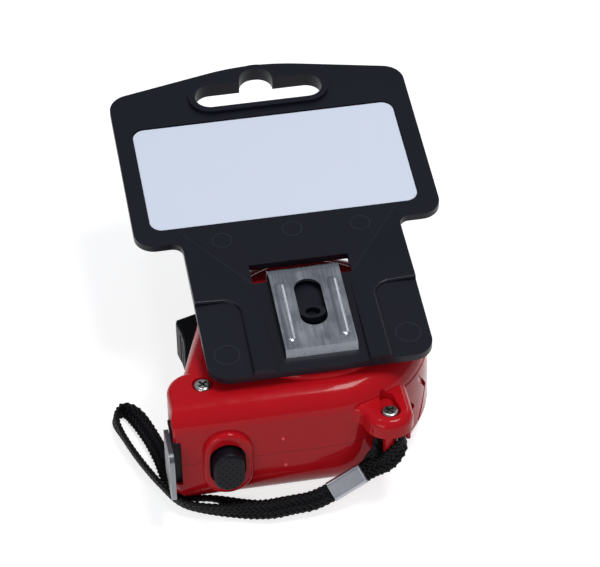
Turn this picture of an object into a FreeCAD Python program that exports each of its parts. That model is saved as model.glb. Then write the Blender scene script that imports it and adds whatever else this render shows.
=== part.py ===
"""Pocket tape measure on its hanging card, built as separate fitted pieces.

Frame, in mm: the tape reel turns about Z. The flat front of the case lies on
Z = 0 and the belt clip and the card are on top, at larger Z. The blade leaves
the case towards -X. +Y runs from the case up through the hang hole.
"""
import FreeCAD, Part
import math
import os

V = FreeCAD.Vector

# ---------------------------------------------------------------- driving sizes
CASE_R = 27.6            # drum radius of the case, mm
CASE_DEPTH = 30.5        # front face to the base plane of the back
FRONT_ROUND = 9.0        # rounding of the drum edge at the front
BACK_ROUND = 6.0         # rounding of the drum edge at the back
WALL = 2.2               # wall of both shells
PARTING = 15.2           # parting plane of the two shells, also the blade's middle
NOSE_X = 36.8            # reel axis to the mouth face
NOSE_R = 6.2             # rounded upper corner of the nose
NOSE_Y = -18.2           # centre of that rounding below the reel axis
NOSE_ROUND = 2.0         # back edge of the nose and of the slanted front
SLANT_DEG = 163.34       # where the slanted front leaves the drum
DISC_R = 21.3            # raised round boss on the back
DISC_RISE = 1.5

BLADE_W = 12.7           # half-inch blade
BLADE_T = 0.20
BLADE_CUP = 23.0         # radius of the blade's cupped section
COIL_R = 22.4            # outside of the wound blade
COIL_IN = 17.0
MOUTH_W = 13.4           # free width for the blade
PULL = 25.0              # blade travel shown by the joint

CARD_W = 75.0            # hanging card
CARD_T = 1.8
CARD_TILT = 6.0          # degrees, card against the back of the case
CARD_Y = 47.2            # label centre above the reel axis
CLIP_W = 17.0            # belt clip
CLIP_T = 0.7
CORD_D = 2.2             # bare tube that stands for the flat braid

RUN_FIT = 0.05           # radial clearance of a running fit
SLIDE_GAP = 0.20         # clearance beside the lock's stem in its slot


# ------------------------------------------------------------------- small tools
def box(x0, x1, y0, y1, z0, z1):
    return Part.makeBox(x1 - x0, y1 - y0, z1 - z0, V(x0, y0, z0))


def cyl(r, x, y, z0, z1):
    return Part.makeCylinder(r, z1 - z0, V(x, y, z0), V(0, 0, 1))


def tube(r_out, r_in, x, y, z0, z1):
    return cyl(r_out, x, y, z0, z1).cut(cyl(r_in, x, y, z0 - 1.0, z1 + 1.0))


def rounded_wire(points, radii, z=0.0):
    """Closed wire through straight sides with a tangent arc at each corner."""
    n = len(points)
    ends = []
    for i in range(n):
        p = V(points[i][0], points[i][1], z)
        a = V(points[i - 1][0], points[i - 1][1], z).sub(p)
        b = V(points[(i + 1) % n][0], points[(i + 1) % n][1], z).sub(p)
        r = radii[i] if isinstance(radii, (list, tuple)) else radii
        if r <= 0.0:
            ends.append((p, None, p))
            continue
        a.normalize()
        b.normalize()
        half = a.getAngle(b) / 2.0
        reach = r / math.tan(half)
        mid = a.add(b)
        mid.normalize()
        near = p.add(mid * (r / math.sin(half) - r))
        ends.append((p.add(a * reach), near, p.add(b * reach)))
    edges = []
    for i in range(n):
        start, near, stop = ends[i]
        if near is not None:
            edges.append(Part.Arc(start, near, stop).toShape())
        after = ends[(i + 1) % n][0]
        if stop.distanceToPoint(after) > 1e-6:
            edges.append(Part.LineSegment(stop, after).toShape())
    return Part.Wire(edges)


def plate(points, radii, z0, z1):
    face = Part.Face(rounded_wire(points, radii, z0))
    return face.extrude(V(0, 0, z1 - z0))


def rect(x0, x1, y0, y1):
    return [(x0, y0), (x1, y0), (x1, y1), (x0, y1)]


def along(profile, origin, x_dir, y_dir, length):
    """Extrude a flat profile given in its own (u, v) axes along u x v."""
    pts = [origin.add(x_dir * u).add(y_dir * v) for u, v in profile]
    face = Part.Face(Part.makePolygon(pts + [pts[0]]))
    return face.extrude(x_dir.cross(y_dir) * length)


def fuse(shapes):
    out = shapes[0]
    for s in shapes[1:]:
        out = out.fuse(s)
    return out.removeSplitter()


def on_card(shape):
    """Move a shape drawn in the card's own frame to its place."""
    out = shape.copy()
    out.rotate(V(0, 0, 0), V(1, 0, 0), CARD_TILT)
    out.translate(V(-0.4, CARD_Y, card_height()))
    return out


def save(name, shape):
    solids = shape.Solids
    if not shape.isValid() or not solids:
        print("BAD", name, shape.isValid(), len(solids))
    if len(solids) == 1:
        shape = solids[0]
    shape.exportStep("parts/" + name + ".step")
    print(name, "solids", len(solids), "volume", round(shape.Volume, 1))


# -------------------------------------------------------------------------- case
def rounding_section(edge, low, high, r_low, r_high, far=70.0):
    """Face in the plane u-z: everything inside `edge`, both corners rounded."""
    s = math.sqrt(0.5)
    a = V(edge - r_low, 0, low)
    a_mid = V(edge - r_low + r_low * s, 0, low + r_low - r_low * s)
    b = V(edge, 0, low + r_low)
    c = V(edge, 0, high - r_high)
    c_mid = V(edge - r_high + r_high * s, 0, high - r_high + r_high * s)
    d = V(edge - r_high, 0, high)
    e = V(-far, 0, high)
    f = V(-far, 0, low)
    wire = Part.Wire([
        Part.LineSegment(f, a).toShape(),
        Part.Arc(a, a_mid, b).toShape(),
        Part.LineSegment(b, c).toShape(),
        Part.Arc(c, c_mid, d).toShape(),
        Part.LineSegment(d, e).toShape(),
        Part.LineSegment(e, f).toShape(),
    ])
    return Part.Face(wire)


def bar(angle_deg, edge, low, high, r_low, r_high, length=160.0):
    """Long bar whose outer side faces the direction `angle_deg` in X-Y."""
    face = rounding_section(edge, low, high, r_low, r_high)
    solid = face.extrude(V(0, length, 0))
    solid.translate(V(0, -length / 2.0, 0))
    solid.rotate(V(0, 0, 0), V(0, 0, 1), angle_deg)
    return solid


def tapering_bar(angle_deg, edge, low, high, r_low, r_start, r_end, length=30.0):
    """Like bar, its upper rounding easing from r_start to r_end down the slant."""
    near = rounding_section(edge, low, high, r_low, r_start).OuterWire
    far = rounding_section(edge, low, high, r_low, r_end).OuterWire
    far.translate(V(0, length, 0))
    solid = Part.makeLoft([near, far], True, True)
    solid = solid.fuse(Part.Face(far).extrude(V(0, length, 0)))
    solid.rotate(V(0, 0, 0), V(0, 0, 1), angle_deg)
    return solid


def turned(radius, low, high, r_low, r_high, x, y, start, sweep):
    """Body of revolution about Z with both rims rounded."""
    face = rounding_section(radius, low, high, r_low, r_high, 0.0)
    solid = face.revolve(V(0, 0, 0), V(0, 0, 1), sweep)
    solid.rotate(V(0, 0, 0), V(0, 0, 1), start)
    solid.translate(V(x, y, 0))
    return solid


def slant_x(y, depth=0.0):
    """X of the slanted front at height y, `depth` inside its surface."""
    a = math.radians(SLANT_DEG)
    return (CASE_R - depth - y * math.sin(a)) / math.cos(a)


def case_body(inset):
    """Outer form of the case, or its hollow when inset by the wall."""
    r = CASE_R - inset
    low = inset
    high = CASE_DEPTH - inset
    rf = FRONT_ROUND - inset
    rb = BACK_ROUND - inset
    edge = max(NOSE_ROUND - inset, 0.3)
    tip_r = NOSE_R - inset
    tip_x = -(NOSE_X - NOSE_R)
    tip_y = NOSE_Y
    tip_front = min(rf - 1.0, tip_r - 0.3)
    drum = turned(r, low, high, rf, rb, 0, 0, -90.0, SLANT_DEG + 90.0)
    a = math.radians(SLANT_DEG)
    tangent = (r * math.cos(a), r * math.sin(a))
    knee_y = NOSE_Y + NOSE_R - 1.0
    knee = (slant_x(knee_y, inset), knee_y)
    wedge = plate([(0, 0), (0, -40.0), (tip_x, -40.0), knee, tangent], 0, low, high)
    wedge = wedge.common(bar(-90.0, r, low, high, rf, rb))
    wedge = wedge.common(tapering_bar(SLANT_DEG, r, low, high, rf, rb, edge))
    snout = box(-60.0, -20.0, -60.0, tip_y, low, high)
    snout = snout.common(bar(-90.0, r, low, high, rf, rb))
    snout = snout.common(bar(180.0, NOSE_X - inset, low, high, tip_front, edge))
    tip = turned(tip_r, low, high, tip_front, edge, tip_x, tip_y, 90.0, 90.0)
    nose_part = snout.fuse(tip)
    corner = (NOSE_X + CASE_R) * math.sqrt(0.5) - 0.4
    nose_part = nose_part.common(bar(-135.0, corner - inset, low, high, rf + 1.0, edge + 1.5))
    return fuse([drum, wedge, nose_part])


def back_disc():
    base = cyl(DISC_R, 0, 0, CASE_DEPTH - 1.0, CASE_DEPTH + DISC_RISE)
    rim = [e for e in base.Edges if abs(e.BoundBox.ZMin - CASE_DEPTH - DISC_RISE) < 1e-6
           and e.Length > 10.0]
    return base.makeFillet(1.2, rim)


SCREWS = [(-28.3, -17.5, 29.3), (13.6, -29.1, 24.3), (-5.0, 24.9, 26.6)]
SCREW_HEAD_R = 2.15
POST_R = 1.7


LUG_LOW = 21.5
LUG_TOP = 26.0
EAR_TOP = 12.0


def lug():
    """Rounded ear beside the drum that carries the strap's screw post."""
    pts = [(0.0, -20.0), (0.0, -27.2), (7.3, -27.2), (8.3, -34.5), (19.0, -34.5), (19.0, -20.0)]
    body = plate(pts, [0, 0, 3.0, 5.2, 5.2, 0], LUG_LOW, LUG_TOP)
    top = [e for e in body.Edges if e.BoundBox.ZMin > LUG_TOP - 0.01 and e.BoundBox.YMin < -27.3]
    body = body.makeFillet(2.2, top)
    wall = plate(rect(17.5, 18.5, -29.6, -19.5), 0.4, PARTING + 1.0, LUG_LOW + 0.5)
    return body.fuse(wall)


def lug_well():
    """Sunk seat of the lug's screw, running out towards the drum."""
    pts = [(10.7, -32.0), (16.5, -32.0), (15.1, -23.6), (12.1, -23.6)]
    return plate(pts, [2.4, 2.4, 1.3, 1.3], SCREWS[1][2], LUG_TOP + 6.0)


def front_ear():
    x, y = SCREWS[1][0], SCREWS[1][1]
    ear = cyl(2.0, x, y, EAR_TOP - 2.5, EAR_TOP)
    neck = plate([(x - 1.7, y - 1.0), (x + 1.9, y + 0.3), (15.0, -21.0), (10.2, -23.4)], 0,
                 EAR_TOP - 2.5, EAR_TOP)
    return ear.fuse(neck).removeSplitter()


def grip_band():
    """Raised band on the rear of the drum with V-shaped finger grooves."""
    rise = 0.25
    band = turned(CASE_R + rise, 7.6, 24.4, 0.6, 0.6, 0, 0, -47.0, 79.0)
    band = band.cut(cyl(CASE_R - 1.2, 0, 0, 0, 31.0))
    return band


def grip_grooves():
    """V-shaped finger grooves cut into the rear of the drum."""
    depth = 0.6
    arms = []
    for k in range(5):
        for side in (-1, 1):
            arm = box(CASE_R + 0.25 - depth, CASE_R + 3.0, -0.6, 0.6, -0.5, 10.5)
            arm.rotate(V(0, 0, 0), V(1, 0, 0), 38.0)
            if side < 0:
                arm = arm.mirror(V(0, 0, 0), V(0, 0, 1))
            arm.translate(V(0, 0, PARTING))
            arm.rotate(V(0, 0, 0), V(0, 0, 1), -40.0 + 17.2 * k)
            arms.append(arm)
    return arms


BUTTON_X = -24.65
BUTTON_Z = 15.0


def racetrack(x, z, width, height, y0, y1):
    """Round-ended prism standing along Y, long way along Z."""
    r = width / 2.0
    h = height / 2.0 - r
    body = box(x - r, x + r, y0, y1, z - h, z + h)
    for zc in (z - h, z + h):
        body = body.fuse(Part.makeCylinder(r, y1 - y0, V(x, y0, zc), V(0, 1, 0)))
    return body.removeSplitter()


def collar():
    body = racetrack(BUTTON_X + 0.2, PARTING - 0.3, 11.7, 18.3, -29.1, -25.0)
    rim = [e for e in body.Edges if abs(e.BoundBox.YMax + 29.1) < 1e-6]
    return body.makeFillet(1.0, rim)


def screw_tip(y):
    """Lower end of a case screw; the strap post's screw is the short one."""
    return EAR_TOP - 1.7 if y < -25.0 else 4.8


def screw_bores(body):
    for x, y, seat in SCREWS:
        body = body.cut(cyl(1.1, x, y, screw_tip(y) - 0.3, 40.0))
        body = body.cut(cyl(SCREW_HEAD_R + 0.35, x, y, seat, 40.0))
    return body


def case_solid():
    solid = fuse([case_body(0.0), back_disc(), lug(), front_ear(), grip_band(), collar()])
    for groove in grip_grooves():
        solid = solid.cut(groove)
    outside = case_body(0.0)
    solid = solid.cut(lug_well()).cut(case_body(WALL))
    for x, y, seat in SCREWS:
        boss = cyl(2.3, x, y, 0.5, seat + 0.5).common(outside)
        if y < -25.0:
            boss = cyl(POST_R, x, y, EAR_TOP - 1.0, LUG_LOW + 0.5)
        solid = solid.fuse(boss)
    solid = solid.fuse(box(-12.2, -7.8, -26.0, -24.3, 9.6, 20.8))
    solid = screw_bores(solid)
    return solid.removeSplitter()


LOCK_Z = 15.2
LOCK_HALF = 5.4
STEM_HALF = 3.0
INSERT_Z = (7.4, 23.0)


def slant_box(s0, s1, d0, d1, z0, z1):
    """Block along the slanted front: s runs down it, d is the depth inside it."""
    a = math.radians(SLANT_DEG)
    out = V(math.cos(a), math.sin(a), 0)
    down = V(math.sin(a) * -1.0, math.cos(a), 0)
    top = V(CASE_R * math.cos(a), CASE_R * math.sin(a), z0)
    corners = [(s0, d0), (s1, d0), (s1, d1), (s0, d1)]
    pts = [top.add(down * s).add(out * -d) for s, d in corners]
    face = Part.Face(Part.makePolygon(pts + [pts[0]]))
    return face.extrude(V(0, 0, z1 - z0))


def cut_openings(solid):
    zi0, zi1 = INSERT_Z
    solid = solid.cut(box(-45.0, -30.5, -26.5, -19.5, zi0 - 0.1, zi1 + 0.1))
    solid = solid.cut(box(-32.0, -28.5, -26.0, -20.1, zi0 + 0.6, zi1 - 0.6))
    solid = solid.cut(box(-45.0, -35.2, -30.0, -25.0, 9.2, 22.5))
    solid = solid.cut(racetrack(BUTTON_X, BUTTON_Z, 8.5, 12.5, -35.0, -24.0))
    solid = solid.cut(box(-30.2, -19.2, -27.3, -24.9, 7.4, 22.8))
    slot = STEM_HALF + SLIDE_GAP
    solid = solid.cut(slant_box(-5.5, 6.4, -6.0, 6.0, LOCK_Z - slot, LOCK_Z + slot))
    solid = solid.cut(cyl(3.0 + RUN_FIT, 0, 0, 1.4, 29.1))
    solid = solid.cut(box(-13.5, -7.9, -25.25, -24.95, 11.1, 19.3))
    solid = solid.cut(box(-19.4, -12.6, -26.4, -24.9, 10.7, 19.7))
    solid = solid.cut(cyl(1.6, 0, -3.0, 29.0, 34.0))
    return solid


def shells():
    solid = cut_openings(case_solid())
    sockets = tube(4.6, 3.0 + RUN_FIT, 0, 0, 1.6, 6.0)
    sockets = sockets.fuse(tube(4.6, 3.0 + RUN_FIT, 0, 0, 24.8, 28.9))
    solid = solid.fuse(sockets).removeSplitter()
    pocket = cyl(18.6, 0, 0, 27.0, 29.6).cut(cyl(4.6, 0, 0, 26.0, 30.0))
    solid = solid.cut(pocket)
    low = solid.common(box(-80, 80, -80, 80, -5, PARTING))
    high = solid.common(box(-80, 80, -80, 80, PARTING, 60))
    ear_low = cyl(POST_R + 0.01, SCREWS[1][0], SCREWS[1][1], EAR_TOP, PARTING)
    low = low.cut(ear_low)
    post = cyl(POST_R, SCREWS[1][0], SCREWS[1][1], EAR_TOP, LUG_LOW + 0.5)
    post = post.cut(cyl(1.1, SCREWS[1][0], SCREWS[1][1], 5.0, 40.0))
    high = high.fuse(post).removeSplitter()
    return low, high


# -------------------------------------------------------------- mouth and blade
def mouth_insert():
    zi0, zi1 = INSERT_Z
    block = box(-36.4, -30.5, -26.4, -19.6, zi0, zi1)
    free = MOUTH_W / 2.0 - 0.05
    return block.cut(box(-40.0, -25.0, -25.6, -20.5, PARTING - free, PARTING + free))


def cupped(y_mid, thick, half_w, x0, x1, radius):
    """Strip with a cupped section, hollow side up, its middle lowest at y_mid."""
    centre = y_mid + radius
    ring = Part.makeCylinder(radius, x1 - x0, V(x0, centre, PARTING), V(1, 0, 0))
    core = Part.makeCylinder(radius - thick, x1 - x0, V(x0, centre, PARTING), V(1, 0, 0))
    body = ring.cut(core)
    return body.common(box(x0, x1, y_mid - 1.0, y_mid + 6.0, PARTING - half_w, PARTING + half_w))


RIVETS = (-33.6, -30.4)
RIVET_R = 0.9
HOOK_PLAY = 0.8
BLADE_LOW = -(COIL_R + BLADE_T)


def blade_section(x, cup):
    """Closed wire of the blade's section at x, hollow side up."""
    half = BLADE_W / 2.0

    def at(z, lift):
        return V(x, BLADE_LOW + z * z / (2.0 * cup) + lift, PARTING + z)

    edges = [Part.Arc(at(-half, 0), at(0, 0), at(half, 0)).toShape(),
             Part.LineSegment(at(half, 0), at(half, BLADE_T)).toShape(),
             Part.Arc(at(half, BLADE_T), at(0, BLADE_T), at(-half, BLADE_T)).toShape(),
             Part.LineSegment(at(-half, BLADE_T), at(-half, 0)).toShape()]
    return Part.Wire(edges)


def tape_blade():
    """Cupped towards the mouth, flat where it leaves the reel."""
    flat = 3000.0
    front = Part.Face(blade_section(-36.9, BLADE_CUP)).extrude(V(36.9 - 13.0, 0, 0))
    blend = Part.makeLoft([blade_section(-13.0, BLADE_CUP), blade_section(-3.0, flat)], True, True)
    tail = Part.Face(blade_section(-3.0, flat)).extrude(V(14.0, 0, 0))
    strip = front.fuse([blend, tail]).removeSplitter()
    strip = strip.common(box(-40.0, 10.0, -30.0, -10.0, 0.0, 30.0))
    for x in RIVETS:
        hole = Part.makeCylinder(RIVET_R, 6.0, V(x, -26.0, PARTING), V(0, 1, 0))
        strip = strip.cut(hole)
    return strip


def hook_rivets():
    out = []
    top = BLADE_LOW + BLADE_T + 0.12 + 0.6
    for x in RIVETS:
        shank = Part.makeCylinder(RIVET_R, top + 0.13 - BLADE_LOW, V(x, BLADE_LOW, PARTING),
                                  V(0, 1, 0))
        low = Part.makeCylinder(1.5, 0.4, V(x, BLADE_LOW - 0.4, PARTING), V(0, 1, 0))
        high = Part.makeCylinder(1.5, 0.4, V(x, top + 0.13, PARTING), V(0, 1, 0))
        out.append(shank.fuse([low, high]).removeSplitter())
    return Part.makeCompound(out)


def end_hook():
    top = BLADE_LOW + BLADE_T + 0.12
    tongue = cupped(top, 0.6, 4.6, -38.1, -27.4, BLADE_CUP - 0.5)
    for x in RIVETS:
        slot = box(x - 0.05, x + HOOK_PLAY + 0.05, -30.0, -15.0, PARTING - RIVET_R - 0.05,
                   PARTING + RIVET_R + 0.05)
        for xc in (x - 0.05, x + HOOK_PLAY + 0.05):
            slot = slot.fuse(Part.makeCylinder(RIVET_R + 0.05, 15.0, V(xc, -30.0, PARTING),
                                               V(0, 1, 0)))
        tongue = tongue.cut(slot)
    face = plate([(PARTING - 7.2, -32.5), (PARTING + 7.2, -32.5), (PARTING + 6.6, -21.3),
                  (PARTING - 6.6, -21.3)], [2.2, 2.2, 0.8, 0.8], 0, 1.1)
    face.rotate(V(0, 0, 0), V(0, 1, 0), -90.0)
    face.translate(V(-37.3, 0, 0))
    return face.fuse(tongue).removeSplitter()


# -------------------------------------------------------------------------- reel
def tape_coil():
    half = BLADE_W / 2.0
    return tube(COIL_R - 0.12, COIL_IN, 0, 0, PARTING - half, PARTING + half)


def spool():
    drum = tube(COIL_IN, COIL_IN - 1.1, 0, 0, 8.5, 21.9)
    web = cyl(COIL_IN, 0, 0, 8.5, 9.5)
    rim = cyl(COIL_R - 0.4, 0, 0, 7.7, 8.5)
    hub = cyl(4.4, 0, 0, 7.0, 10.6)
    body = fuse([drum, web, rim, hub])
    return body.cut(cyl(3.0 + RUN_FIT, 0, 0, 0, 40.0))


def spool_cover():
    disc = cyl(COIL_R - 0.4, 0, 0, 21.9, 22.7)
    hub = cyl(4.4, 0, 0, 20.9, 23.4)
    return fuse([disc, hub]).cut(cyl(3.0 + RUN_FIT, 0, 0, 0, 40.0))


def power_spring():
    """Outer pack plus a half-turn spiral that reaches in to the arbor."""
    r = COIL_IN - 1.15
    pack = tube(r, r - 4.4, 0, 0, 9.6, 20.8)
    t = 0.35
    rad = r - 4.4 + t
    shift = 0.0
    body = pack
    for k in range(5):
        step = (rad - 3.55) / (5 - k) if k < 5 else 0.0
        nxt = rad - step / 2.0
        cx = (rad - nxt) * (1 if k % 2 == 0 else -1)
        shift = shift + cx
        ring = tube(nxt, nxt - t, shift, 0, 10.9, 20.5)
        side = box(-40, 40, 0, 40, 0, 40) if k % 2 == 0 else box(-40, 40, -40, 0, 0, 40)
        body = body.fuse(ring.common(side))
        rad = nxt
    return body.removeSplitter()


def arbor():
    pin = cyl(3.0, 0, 0, 1.4, 29.1)
    return pin.makeChamfer(0.3, [e for e in pin.Edges if e.Length > 15 and
                                 abs(e.BoundBox.ZMax - e.BoundBox.ZMin) < 1e-6])


# ------------------------------------------------------------ lock and its wedge
THUMB_FACE = [(-30.3, 0.0), (-29.8, 4.7), (-29.4, 8.3), (-29.3, 10.2), (-29.5, 13.2),
              (-29.9, 15.2), (-30.2, 17.0)]


def thumb_face(y):
    """X of the hollowed thumb face at height y."""
    for (xa, ya), (xb, yb) in zip(THUMB_FACE[:-1], THUMB_FACE[1:]):
        if ya <= y <= yb:
            return xa + (xb - xa) * (y - ya) / (yb - ya)
    return THUMB_FACE[-1][0]


def thumb_lock():
    base = [(slant_x(20.0, -0.35), 20.0), (slant_x(0.0, -0.35), 0.0)]
    outer = THUMB_FACE + [(-29.9, 18.0), (-25.1, 19.6)]
    body = plate(base + outer, 0, LOCK_Z - LOCK_HALF, LOCK_Z + LOCK_HALF)
    edges = [e for e in body.Edges if e.BoundBox.XMax < -24.9 and e.BoundBox.ZLength < 1e-6
             and e.BoundBox.XMin < -28.9 and e.BoundBox.YMax < 19.7]
    body = body.makeFillet(0.6, edges)
    for k in range(6):
        y = 3.4 + 2.0 * k
        x = thumb_face(y) - 0.15
        body = body.cut(Part.makeCylinder(0.5, 8.4, V(x, y, LOCK_Z - 4.2), V(0, 0, 1)))
    stem = slant_box(-5.0, 1.0, -1.0, 3.1, LOCK_Z - STEM_HALF, LOCK_Z + STEM_HALF)
    return body.fuse(stem).removeSplitter()


def lock_wedge():
    plate_part = slant_box(-5.0, 3.0, 3.1, 4.1, LOCK_Z - 2.4, LOCK_Z + 2.4)
    arm = box(-23.8, -22.8, -17.0, 5.8, LOCK_Z - 2.4, LOCK_Z + 2.4)
    return plate_part.fuse(arm).removeSplitter()


# ---------------------------------------------------------------------- button
def brake_button():
    head = racetrack(BUTTON_X, BUTTON_Z, 7.3, 11.1, -32.2, -27.0)
    rim = [e for e in head.Edges if abs(e.BoundBox.YMax + 32.2) < 1e-6]
    head = head.makeFillet(0.9, rim)
    flange = box(-29.8, -19.6, -27.15, -26.2, 7.8, 22.4)
    pad = box(-27.0, -22.6, -26.3, -25.0, 12.7, 17.7)
    return fuse([head, flange, pad])


def button_spring():
    """Leaf gripped by a block on the shell, its free end on the flange."""
    thick = 0.3
    free = (-21.6, -26.15)
    bend = (-13.0, -25.25)
    pts = [(-7.9, -25.25), (-7.9, -25.25 + thick), (bend[0], -25.25 + thick),
           (free[0], free[1] + thick), free, bend]
    return plate(pts, 0, 11.2, 19.2)


# ------------------------------------------------------------------- belt clip
LEG_END = -19.5
DISC_TOP = CASE_DEPTH + DISC_RISE
LEG_Z = 1.9


def card_height():
    """Height of the card frame so that its underside meets the clip's inner leg."""
    a = math.radians(CARD_TILT)
    y_c = (LEG_END - CARD_Y - CARD_T * math.sin(a)) / math.cos(a)
    return DISC_TOP + CLIP_T + 0.02 - y_c * math.sin(a) + CARD_T * math.cos(a)


def to_world(y_c, z_c):
    a = math.radians(CARD_TILT)
    y = CARD_Y + y_c * math.cos(a) - z_c * math.sin(a)
    z = card_height() + y_c * math.sin(a) + z_c * math.cos(a)
    return y, z


def strip_outline():
    """Clip centre line in Y-Z as (start, arcs, points) turned into a face."""
    a = math.radians(CARD_TILT)
    t = CLIP_T / 2.0
    inner_z = DISC_TOP + t
    cy = 8.2
    y0, z0 = to_world(-38.0, LEG_Z - t)
    n = (-math.sin(a), math.cos(a))
    r = (-(cy - y0) * n[0] - (inner_z - z0) * n[1]) / (1.0 + n[1])
    cz = inner_z + r

    def ring(rad, ang):
        return V(0, cy + rad * math.cos(ang), cz + rad * math.sin(ang))

    def leg(y_c, z_c):
        y, z = to_world(y_c, z_c)
        return V(0, y, z)

    top = math.pi / 2.0 + a
    up = LEG_Z
    dn = LEG_Z - CLIP_T
    outer_end = [leg(-63.8, up), leg(-64.75, 0.04), leg(-64.1, 0.04), leg(-63.2, dn)]
    p0 = V(0, LEG_END, DISC_TOP)
    p1 = ring(r + t, -math.pi / 2.0)
    p2 = ring(r + t, top)
    q2 = ring(r - t, top)
    q1 = ring(r - t, -math.pi / 2.0)
    q0 = V(0, LEG_END, DISC_TOP + CLIP_T)
    edges = [Part.LineSegment(p0, p1).toShape(),
             Part.Arc(p1, ring(r + t, 0.0), p2).toShape(),
             Part.LineSegment(p2, outer_end[0]).toShape()]
    for u, v in zip(outer_end[:-1], outer_end[1:]):
        edges.append(Part.LineSegment(u, v).toShape())
    edges.append(Part.LineSegment(outer_end[-1], q2).toShape())
    edges.append(Part.Arc(q2, ring(r - t, 0.0), q1).toShape())
    edges.append(Part.LineSegment(q1, q0).toShape())
    edges.append(Part.LineSegment(q0, p0).toShape())
    return Part.Face(Part.Wire(edges))


BEAD_ENDS = (-60.6, -43.3)


def clip_bead(x, r, y0, y1):
    """Pressed rib with round ends, proud of the clip's outer face."""
    z = LEG_Z + 0.5 - r
    bead = Part.makeCylinder(r, y1 - y0, V(x, y0, z), V(0, 1, 0))
    for y in (y0, y1):
        bead = bead.fuse(Part.makeSphere(r, V(x, y, z)))
    return bead.common(box(x - 3, x + 3, -70, -30, LEG_Z - CLIP_T + 0.1, 9.0))


def belt_clip():
    face = strip_outline()
    body = face.extrude(V(40.0, 0, 0))
    body.translate(V(-20.0, 0, 0))
    half = CLIP_W / 2.0
    body = body.common(box(-half + 0.05, half + 0.05, -25.0, 20.0, 25.0, 60.0))
    hole = plate(rect(-2.9, 3.6, -57.0, -41.9), 3.2, -0.6, 8.0)
    body = body.cut(on_card(hole))
    for x in (-6.2, 6.45):
        body = body.fuse(on_card(clip_bead(x, 1.9, BEAD_ENDS[0], BEAD_ENDS[1])))
    body = body.cut(cyl(1.7, 0, -3.0, 31.0, 34.0))
    return body.removeSplitter()


def clip_screw():
    head = cyl(2.9, 0, -3.0, DISC_TOP + CLIP_T, DISC_TOP + CLIP_T + 0.9)
    shank = cyl(1.6, 0, -3.0, 30.2, DISC_TOP + CLIP_T)
    body = head.fuse(shank).removeSplitter()
    rim = [e for e in body.Edges if abs(e.BoundBox.ZMin - DISC_TOP - CLIP_T - 0.9) < 1e-6]
    return body.makeFillet(0.4, rim)


def case_screws():
    out = []
    for x, y, seat in SCREWS:
        head = cyl(SCREW_HEAD_R, x, y, seat, seat + 1.3)
        rim = [e for e in head.Edges if abs(e.BoundBox.ZMin - seat - 1.3) < 1e-6]
        head = head.makeFillet(0.8, rim)
        for a in (0, 90):
            arm = box(-1.25, 1.25, -0.28, 0.28, seat + 0.7, seat + 2.0)
            arm.rotate(V(0, 0, 0), V(0, 0, 1), a + 35)
            arm.translate(V(x, y, 0))
            head = head.cut(arm)
        out.append(head.fuse(cyl(1.08, x, y, screw_tip(y), seat)).removeSplitter())
    return Part.makeCompound(out)


# ------------------------------------------------------------------ hanging card
def card_outline():
    half = CARD_W / 2.0
    pts = [(-half, 30.2), (-half, -23.3), (-26.5, -23.3), (-26.5, -68.7),
           (26.5, -68.7), (26.5, -23.3), (half, -23.3), (half, 30.2), (0.2, 38.3)]
    radii = [5.5, 5.0, 2.5, 5.0, 5.0, 2.5, 5.0, 5.5, 55.0]
    return pts, radii


def hang_hole(grow, z0, z1):
    band = plate(rect(-15.9 - grow, 16.4 + grow, 22.2 - grow, 30.3 + grow), 4.0 + grow, z0, z1)
    bump = plate(rect(-4.0 - grow, 4.5 + grow, 24.0, 34.5 + grow), [0, 0, 3.9 + grow, 3.9 + grow],
                 z0, z1)
    return band.fuse(bump).removeSplitter()


def is_pad_lip(b):
    """True for the upper edges of the wing that stand over the sunk pad."""
    return (b.ZMin > -0.45 and b.ZLength < 1.2 and b.YMax < -44.59 and b.YMax > -68.6
            and b.XMax < -16.19 and b.XMax > -26.49)


def card_wing(side):
    """Raised corner between a crease, the rib beside the clip and the pad."""
    rise = 1.45
    pts = [(-26.5, -19.3), (-12.0, -39.6), (-11.1, -40.6), (-11.1, -68.7), (-16.2, -68.7),
           (-16.2, -44.6), (-26.5, -44.6)]
    region = plate(pts, [0, 0, 0, 0, 0, 0, 0], -0.5, rise)
    pad = plate(rect(-40.0, -16.2, -80.0, -44.6), [0, 0, 4.0, 0], -0.6, rise + 0.5)
    corner = plate([(-26.5, -44.6), (-16.2, -44.6), (-16.2, -52.0), (-26.5, -52.0)], 0, -0.5, rise)
    region = region.fuse(corner).cut(pad)
    reach = 20.2
    away = V(-0.815, -0.58, 0)
    away.normalize()
    line = V(0, 0, 1).cross(away) * -1.0
    start = V(-26.5, -19.3, 0).sub(line * 60.0)
    profile = [(0, 0), (0, -1), (90, -1), (90, rise), (reach, rise)]
    pts3 = [start.add(away * u).add(V(0, 0, v)) for u, v in profile]
    ramp = Part.Face(Part.makePolygon(pts3 + [pts3[0]])).extrude(line * 120.0)
    region = region.common(ramp).common(box(-26.5, 0, -68.7, 0, -1, 5)).removeSplitter()
    region = region.makeFillet(0.6, [e for e in region.Edges if is_pad_lip(e.BoundBox)])
    if side > 0:
        region = region.mirror(V(0, 0, 0), V(1, 0, 0))
    return region


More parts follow.
